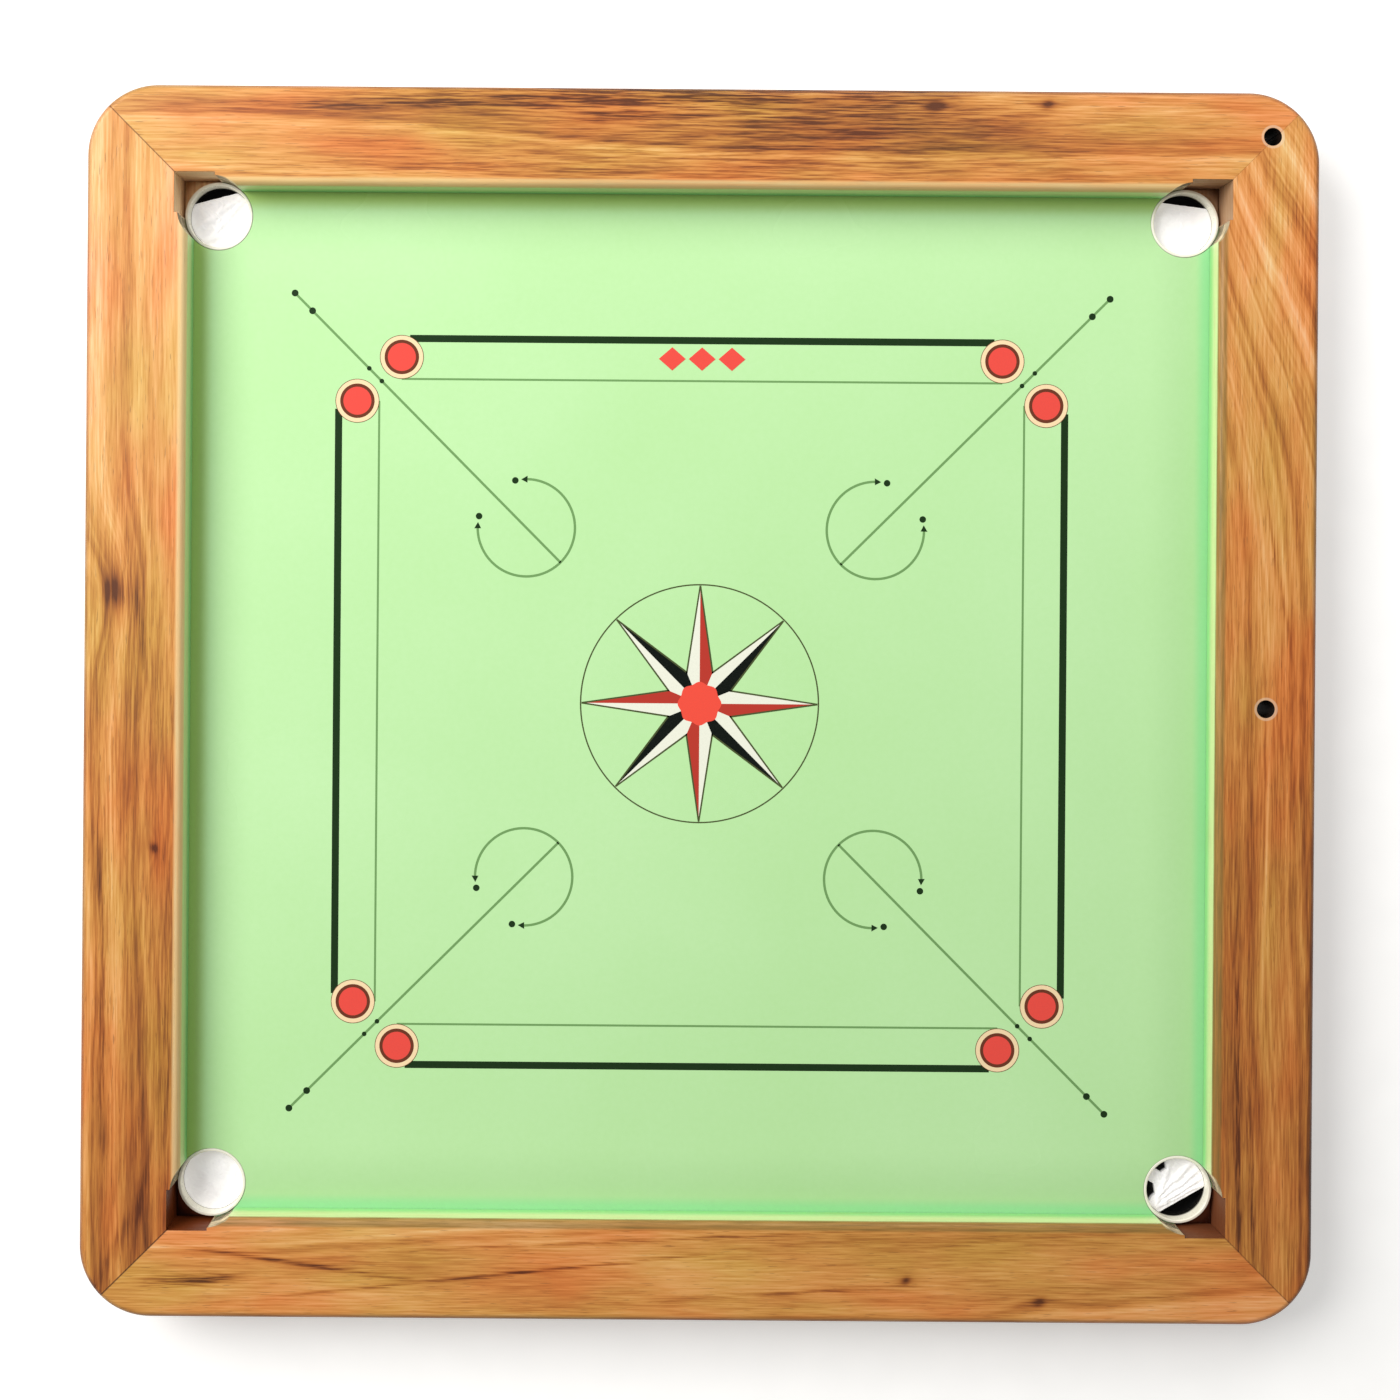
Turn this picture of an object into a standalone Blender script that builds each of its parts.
"""A full-size carrom board, modelled in metres with +Z up.

A mitred hardwood frame stands around a lacquered plywood playing board. The board is pushed up
into the frame's rebate from below and screwed to its lip, two pairs of half-lapped battens
stiffen it, and each corner has a ring-lined pocket with a net tacked on underneath.
The frame lies on z = 0, centred on the Z axis. "Right" is +X and "far" is +Y.
"""

import math

import bmesh
import bpy
from mathutils import Matrix

# Driving dimensions, in metres.
GAP = 0.0003  # clearance where two pieces touch

PLAY_SIDE = 0.737  # clear playing square between the rails, 29 inches
RAIL_WIDTH = 0.072
RAIL_HEIGHT = 0.050
CORNER_RADIUS = 0.051  # outer corners, seen from above
OUTER_ROUND = 0.006  # radius along the rails' outer top edge
INNER_ROUND = 0.003  # radius along the rails' inner top edge
CUSHION_HEIGHT = 0.020  # how far the rails stand above the playing surface
LIP_WIDTH = 0.009  # how far the rails reach over the board's edge
BOARD_THICKNESS = 0.012

POCKET_FROM_WALL = 0.018  # pocket centre to the faces of both rails
NOTCH_FROM_WALL = 0.020  # the square corner notch begins this far in front of the rails' faces
NOTCH_DEPTH = 0.006  # how deep the notch goes into the board
RING_RADIUS = 0.0245
RING_BORE = 0.02225
RING_EDGE = 0.0008  # chamfer around the mouth of the bore
FLANGE_RADIUS = 0.0264  # foot of the ring, under the board
FLANGE_THICKNESS = 0.001

NET_THICKNESS = 0.0012
NET_HEM = 0.032  # radius of the hem that is tacked to the board
NET_NECK = 0.0252
NET_BELLY = 0.0295
NET_FLOOR = 0.0015  # lowest point of the net above the ground
NET_MOUTH = 0.0217  # radius of the bunched net where it rises into the ring
NET_BUNCH = 0.0245  # top of the bunched net
NET_ROUNDING = 0.0022  # how much the bunch's edge is taken off
NET_PRESSED = 0.0264  # the bag is pressed flat against the rails this far from its centre

HANGING_HOLE_RADIUS = 0.00625
HANGING_HOLES = ((0.4035, 0.0), (0.4055, 0.408))  # middle of the right rail, far right corner

TONGUE_SIZE = (0.024, 0.026, 0.004)  # across the mitre, along it, thickness
TONGUE_FROM_WALL = 0.0215  # tongue centre to the faces of both rails
TONGUE_HEIGHT = 0.023  # underside of the tongue

BATTEN_WIDTH = 0.036
BATTEN_THICKNESS = 0.0168
BATTEN_FROM_CENTRE = 0.150

# Fasteners: head radius, shank radius, length.
BOARD_SCREW = (0.0032, 0.0016, 0.025)
BOARD_SCREW_SPACING = 0.230
BATTEN_SCREW = (0.0036, 0.0018, 0.024)
BATTEN_SCREW_FROM_CENTRE = 0.262
NET_TACK = (0.0022, 0.0007, 0.009)
TACK_DOME = 0.0008
TACK_ANGLES = (160, 225, 290)  # degrees around the pocket, on the side away from the rails
TACK_FROM_POCKET = 0.0292

# Facets.
ARC_STEPS = 6  # in each rail's half of a rounded corner
RING_STEPS = 40
NET_STEPS = 24
HOLE_STEPS = 20
SCREW_STEPS = 8

# Sizes that follow from the ones above.
WALL = PLAY_SIDE / 2  # faces of the rails
OUTER = WALL + RAIL_WIDTH
REBATE = WALL + LIP_WIDTH  # back of the rebate, and outer sides of the corner notches
LIP_BOTTOM = RAIL_HEIGHT - CUSHION_HEIGHT
NOTCH_START = WALL - NOTCH_FROM_WALL
BOARD_TOP = LIP_BOTTOM - GAP
BOARD_BOTTOM = BOARD_TOP - BOARD_THICKNESS
BOARD_HALF = REBATE - GAP
POCKET = WALL - POCKET_FROM_WALL
FLANGE_TOP = BOARD_BOTTOM - GAP
HEM_TOP = FLANGE_TOP - FLANGE_THICKNESS - GAP
BATTEN_TOP = BOARD_BOTTOM - GAP
BATTEN_BOTTOM = BATTEN_TOP - BATTEN_THICKNESS
OVERCUT = 0.001  # how far a cutter sticks out of what it cuts

SIDES = ("right", "far", "left", "near")  # each a quarter turn after the one before
CORNERS = ("far_right", "far_left", "near_left", "near_right")

LOOKS = {  # colour, roughness, metallic
    "rail_wood": ((0.55, 0.27, 0.10), 0.45, 0),
    "lacquered_board": ((0.47, 0.83, 0.36), 0.18, 0),
    "ring_plastic": ((0.88, 0.89, 0.86), 0.35, 0),
    "net_nylon": ((0.86, 0.85, 0.86), 0.80, 0),
    "batten_wood": ((0.60, 0.42, 0.24), 0.70, 0),
    "tongue_wood": ((0.66, 0.50, 0.31), 0.70, 0),
    "zinc_steel": ((0.62, 0.61, 0.58), 0.35, 1),
}


# Building blocks.


def clear_scene():
    for existing in list(bpy.data.objects):
        bpy.data.objects.remove(existing)


def material(name):
    if name in bpy.data.materials:
        return bpy.data.materials[name]
    colour, roughness, metallic = LOOKS[name]
    made = bpy.data.materials.new(name)
    made.use_nodes = True
    surface = made.node_tree.nodes["Principled BSDF"]
    surface.inputs["Base Color"].default_value = (*colour, 1.0)
    surface.inputs["Roughness"].default_value = roughness
    surface.inputs["Metallic"].default_value = metallic
    return made


def spot(x, y, z, turn=0):
    """A place in the right-hand sector, turned about the board's centre by quarter turns."""
    return Matrix.Rotation(turn * math.pi / 2, 4, "Z") @ Matrix.Translation((x, y, z))


def mesh_from(bm, name, smooth_degrees=30):
    """A closed bmesh as a mesh with its faces pointing out, smooth where it is round."""
    bmesh.ops.recalc_face_normals(bm, faces=bm.faces)
    mesh = bpy.data.meshes.new(name)
    bm.to_mesh(mesh)
    bm.free()
    mesh.shade_smooth()
    mesh.set_sharp_from_angle(angle=math.radians(smooth_degrees))
    return mesh


def add_piece(name, mesh, look=None, where=None):
    piece = bpy.data.objects.new(name, mesh)
    bpy.context.scene.collection.objects.link(piece)
    if look and not mesh.materials:
        mesh.materials.append(material(look))
    if where:
        piece.matrix_world = where
    return piece


def add_cutter(name, bm, spots):
    """One hidden object with a copy of the closed bmesh at each spot."""
    single = mesh_from(bm, name)
    joined = bmesh.new()
    for where in spots:
        copy = single.copy()
        copy.transform(where)
        joined.from_mesh(copy)
    cutter = add_piece(name, mesh_from(joined, name))
    cutter.hide_render = True
    cutter.display_type = "WIRE"
    return cutter


def cut(piece, cutters):
    for cutter in cutters:
        step = piece.modifiers.new(cutter.name, "BOOLEAN")
        step.operation = "DIFFERENCE"
        step.solver = "EXACT"
        step.object = cutter


def prism(outline, low, high):
    """A closed bmesh that stands straight up on an outline of (x, y) points."""
    bm = bmesh.new()
    floor = bm.faces.new([bm.verts.new((x, y, low)) for x, y in outline])
    grown = bmesh.ops.extrude_face_region(bm, geom=[floor])["geom"]
    top = [item for item in grown if isinstance(item, bmesh.types.BMVert)]
    bmesh.ops.translate(bm, verts=top, vec=(0, 0, high - low))
    bmesh.ops.recalc_face_normals(bm, faces=bm.faces)
    return bm


def box(low, high):
    outline = ((low[0], low[1]), (high[0], low[1]), (high[0], high[1]), (low[0], high[1]))
    return prism(outline, low[2], high[2])


def turned(profile, steps, closed=False):
    """A surface turned about Z from (radius, height) points, where a radius of 0 is a pole.
    A closed profile joins its last point to its first."""
    bm = bmesh.new()
    rings = []
    for radius, height in profile:
        count = steps if radius else 1
        angles = [math.tau * i / steps for i in range(count)]
        rings.append([bm.verts.new((radius * math.cos(a), radius * math.sin(a), height)) for a in angles])
    if closed:
        rings.append(rings[0])
    for here, there in zip(rings, rings[1:]):
        for i in range(steps):
            around = ((here, i), (here, i + 1), (there, i + 1), (there, i))
            bm.faces.new(dict.fromkeys(ring[k % len(ring)] for ring, k in around))
    return bm


def cylinder(radius, low, high, steps=HOLE_STEPS):
    return turned(((0, low), (radius, low), (radius, high), (0, high)), steps)


# Frame.


def rail_outline():
    """The right rail's outline behind its lip: mitred ends, and half of each rounded corner."""
    centre = OUTER - CORNER_RADIUS
    last = math.pi / 4 - math.asin(GAP / 2 / CORNER_RADIUS)
    angles = [last * i / ARC_STEPS for i in range(ARC_STEPS + 1)]
    half = [(centre + CORNER_RADIUS * math.cos(a), centre + CORNER_RADIUS * math.sin(a)) for a in angles]
    half.append((REBATE, REBATE - GAP / math.sqrt(2)))
    return [(x, -y) for x, y in reversed(half)] + half


def grow_lip(bm):
    """Draw the lip out of the rail's inner side, above the rebate and between the notches."""
    up, far = (0, 0, 1), (0, 1, 0)
    for point, normal in (((0, 0, LIP_BOTTOM), up), ((0, NOTCH_START, 0), far), ((0, -NOTCH_START, 0), far)):
        everything = [*bm.verts, *bm.edges, *bm.faces]
        bmesh.ops.bisect_plane(bm, geom=everything, plane_co=point, plane_no=normal)
    bm.normal_update()

    def is_lip(face):
        middle = face.calc_center_median()
        return face.normal.x < -0.9 and middle.z > LIP_BOTTOM and abs(middle.y) < NOTCH_START

    lip = [face for face in bm.faces if is_lip(face)]
    grown = bmesh.ops.extrude_face_region(bm, geom=lip)["geom"]
    front = [item for item in grown if isinstance(item, bmesh.types.BMVert)]
    bmesh.ops.translate(bm, verts=front, vec=(-LIP_WIDTH, 0, 0))
    bmesh.ops.delete(bm, geom=[face for face in lip if face.is_valid], context="FACES_ONLY")
    bm.normal_update()


def round_top_edges(bm):
    """Round the outer edge of the rail's top, and the edge above the playing surface."""
    outer, inner = [], []
    for edge in bm.edges:
        if min(v.co.z for v in edge.verts) < RAIL_HEIGHT - GAP:
            continue
        facing = min((face.normal for face in edge.link_faces), key=lambda normal: abs(normal.z))
        if facing.x > 0.5 and abs(facing.z) < 0.5:
            outer.append(edge)
        elif facing.x < -0.9 and max(v.co.x for v in edge.verts) < WALL + GAP:
            inner.append(edge)
    for edges, radius, steps in ((outer, OUTER_ROUND, 4), (inner, INNER_ROUND, 3)):
        bmesh.ops.bevel(bm, geom=edges, offset=radius, segments=steps, profile=0.5, affect="EDGES")


def make_rails(cutters):
    bm = prism(rail_outline(), 0, RAIL_HEIGHT)
    grow_lip(bm)
    round_top_edges(bm)
    mesh = mesh_from(bm, "rail")
    for turn, side in enumerate(SIDES):
        rail = add_piece(f"rail_{side}", mesh, "rail_wood", spot(0, 0, 0, turn))
        cut(rail, cutters)


def hanging_holes():
    """Two holes drilled straight through the frame, to hang the board from."""
    drill = cylinder(HANGING_HOLE_RADIUS, -OVERCUT, RAIL_HEIGHT + OVERCUT)
    return add_cutter("hanging_holes", drill, [spot(x, y, 0) for x, y in HANGING_HOLES])


def lip_drills():
    """Takes the lips back from over the rings, which stay open to the sky all round."""
    drill = cylinder(RING_RADIUS + GAP, BOARD_TOP, RAIL_HEIGHT + OVERCUT, RING_STEPS)
    return add_cutter("lip_drills", drill, [spot(POCKET, POCKET, 0, turn) for turn in range(4)])


def tongue_spots():
    across = Matrix.Rotation(-math.pi / 4, 4, "Z")
    middle = WALL + TONGUE_FROM_WALL
    return [spot(middle, middle, TONGUE_HEIGHT, turn) @ across for turn in range(4)]


def tongue(clearance):
    width, length, thickness = TONGUE_SIZE
    low = (-width / 2 - clearance, -length / 2 - clearance, -clearance)
    high = (width / 2 + clearance, length / 2 + clearance, thickness + clearance)
    return box(low, high)


def make_tongues():
    """Loose tongues across the mitres. Returns the cutter for their slots."""
    mesh = mesh_from(tongue(0), "mitre_tongue")
    for corner, where in zip(CORNERS, tongue_spots()):
        add_piece(f"mitre_tongue_{corner}", mesh, "tongue_wood", where)
    return add_cutter("tongue_slots", tongue(GAP), tongue_spots())


# Fasteners. Each points up, with its head's bearing face or flat face at z = 0.


def screw(size, clearance=0):
    """A countersunk wood screw with its flat head at the bottom."""
    head, shank, length = size
    cone = head - shank
    profile = (
        (0, -clearance),
        (head + clearance, -clearance),
        (shank + clearance, cone),
        (shank + clearance, length - 2 * shank),
        (0, length + clearance),
    )
    return turned(profile, SCREW_STEPS)


def tack(size, clearance=0):
    """A tack with a domed head under z = 0. With clearance, only the hole for its shank."""
    head, shank, length = size
    point = ((shank + clearance, length - 2 * shank), (0, length + clearance))
    if clearance:
        return turned(((0, -OVERCUT), (shank + clearance, -OVERCUT), *point), SCREW_STEPS)
    dome = ((0, -TACK_DOME), (0.6 * head, -0.75 * TACK_DOME), (head, 0), (shank, 0))
    return turned((*dome, *point), SCREW_STEPS)


def board_screw_spots():
    offsets = (-BOARD_SCREW_SPACING, 0, BOARD_SCREW_SPACING)
    return [spot(WALL + LIP_WIDTH / 2, y, BOARD_BOTTOM, turn) for turn in range(4) for y in offsets]


def batten_screw_spots():
    offsets = (-BATTEN_FROM_CENTRE, BATTEN_FROM_CENTRE)
    return [spot(BATTEN_SCREW_FROM_CENTRE, y, BATTEN_BOTTOM, turn) for turn in range(4) for y in offsets]


def tack_spots():
    bearing = HEM_TOP - NET_THICKNESS - GAP
    spots = []
    for turn in range(4):
        for degrees in TACK_ANGLES:
            x = POCKET + TACK_FROM_POCKET * math.cos(math.radians(degrees))
            y = POCKET + TACK_FROM_POCKET * math.sin(math.radians(degrees))
            spots.append(spot(x, y, bearing, turn))
    return spots


def make_fasteners(name, shape, size, spots):
    """One piece at each spot. Returns the cutter for all their holes."""
    mesh = mesh_from(shape(size), name)
    for number, where in enumerate(spots, start=1):
        add_piece(f"{name}_{number:02d}", mesh, "zinc_steel", where)
    return add_cutter(f"{name}_holes", shape(size, GAP), spots)


# Playing board and battens.


def corner_cutters():
    """The square notches at the board's corners, and the round holes for the rings."""
    beyond = OUTER
    floor = BOARD_TOP - NOTCH_DEPTH
    notch = box((NOTCH_START, NOTCH_START, floor), (beyond, beyond, LIP_BOTTOM + OVERCUT))
    notches = add_cutter("corner_notches", notch, [spot(0, 0, 0, turn) for turn in range(4)])
    hole = cylinder(RING_RADIUS + GAP, BOARD_BOTTOM - OVERCUT, BOARD_TOP + OVERCUT, RING_STEPS)
    holes = add_cutter("pocket_holes", hole, [spot(POCKET, POCKET, 0, turn) for turn in range(4)])
    return notches, holes


def make_playing_board(cutters):
    slab = box((-BOARD_HALF, -BOARD_HALF, BOARD_BOTTOM), (BOARD_HALF, BOARD_HALF, BOARD_TOP))
    board = add_piece("playing_board", mesh_from(slab, "playing_board"), "lacquered_board")
    cut(board, cutters)


def lap_cutters():
    """The half laps where battens cross: taken from below for one pair, from above for the other."""
    reach = BATTEN_WIDTH / 2 + GAP
    middle = (BATTEN_BOTTOM + BATTEN_TOP) / 2
    heights = {
        "lower": (BATTEN_BOTTOM - OVERCUT, middle + GAP / 2),
        "upper": (middle - GAP / 2, BATTEN_TOP + OVERCUT),
    }
    crossings = [spot(BATTEN_FROM_CENTRE, BATTEN_FROM_CENTRE, 0, turn) for turn in range(4)]
    return [
        add_cutter(f"{half}_laps", box((-reach, -reach, low), (reach, reach, high)), crossings)
        for half, (low, high) in heights.items()
    ]


def make_battens(screw_holes):
    """Two battens from left to right and two across them, all between the rails."""
    low = (-BOARD_HALF, BATTEN_FROM_CENTRE - BATTEN_WIDTH / 2, BATTEN_BOTTOM)
    high = (BOARD_HALF, BATTEN_FROM_CENTRE + BATTEN_WIDTH / 2, BATTEN_TOP)
    mesh = mesh_from(box(low, high), "batten")
    laps = lap_cutters()
    for turn, side in enumerate(("far", "left", "near", "right")):
        batten = add_piece(f"batten_{side}", mesh, "batten_wood", spot(0, 0, 0, turn))
        cut(batten, (laps[turn % 2], screw_holes))


# Pockets.


def make_rings():
    """Plastic linings of the pockets, flush with the playing surface, with a foot underneath."""
    foot = FLANGE_TOP - FLANGE_THICKNESS
    profile = (
        (RING_BORE, foot),
        (FLANGE_RADIUS, foot),
        (FLANGE_RADIUS, FLANGE_TOP),
        (RING_RADIUS, FLANGE_TOP),
        (RING_RADIUS, BOARD_TOP),
        (RING_BORE + RING_EDGE, BOARD_TOP),
        (RING_BORE, BOARD_TOP - RING_EDGE),
    )
    mesh = mesh_from(turned(profile, RING_STEPS, closed=True), "pocket_ring")
    for turn, corner in enumerate(CORNERS):
        add_piece(f"pocket_ring_{corner}", mesh, "ring_plastic", spot(POCKET, POCKET, 0, turn))


def net_solid():
    """A bag with its bottom bunched up into the ring, a neck, and a hem under the board."""
    hem_bottom = HEM_TOP - NET_THICKNESS
    height = hem_bottom - NET_FLOOR
    profile = (
        (0, NET_FLOOR),
        (0.6 * NET_BELLY, NET_FLOOR),
        (0.9 * NET_BELLY, NET_FLOOR + 0.15 * height),
        (NET_BELLY, NET_FLOOR + 0.4 * height),
        (0.93 * NET_BELLY, NET_FLOOR + 0.7 * height),
        (NET_NECK, NET_FLOOR + 0.88 * height),
        (NET_NECK, hem_bottom),
        (NET_HEM, hem_bottom),
        (NET_HEM, HEM_TOP),
        (NET_MOUTH, HEM_TOP),
        (NET_MOUTH, NET_BUNCH - NET_ROUNDING),
        (NET_MOUTH - NET_ROUNDING, NET_BUNCH),
        (0, NET_BUNCH),
    )
    bm = turned(profile, NET_STEPS)
    for vert in bm.verts:
        vert.co.x = min(vert.co.x, NET_PRESSED)
        vert.co.y = min(vert.co.y, NET_PRESSED)
    return bm


def make_nets(tack_holes):
    mesh = mesh_from(net_solid(), "pocket_net")
    for turn, corner in enumerate(CORNERS):
        net = add_piece(f"pocket_net_{corner}", mesh, "net_nylon", spot(POCKET, POCKET, 0, turn))
        cut(net, (tack_holes,))


def main():
    clear_scene()
    slots = make_tongues()
    board_screw_holes = make_fasteners("board_screw", screw, BOARD_SCREW, board_screw_spots())
    batten_screw_holes = make_fasteners("batten_screw", screw, BATTEN_SCREW, batten_screw_spots())
    tack_holes = make_fasteners("net_tack", tack, NET_TACK, tack_spots())
    make_rails((lip_drills(), hanging_holes(), slots, board_screw_holes))
    make_playing_board((*corner_cutters(), board_screw_holes, batten_screw_holes, tack_holes))
    make_battens(batten_screw_holes)
    make_rings()
    make_nets(tack_holes)


main()
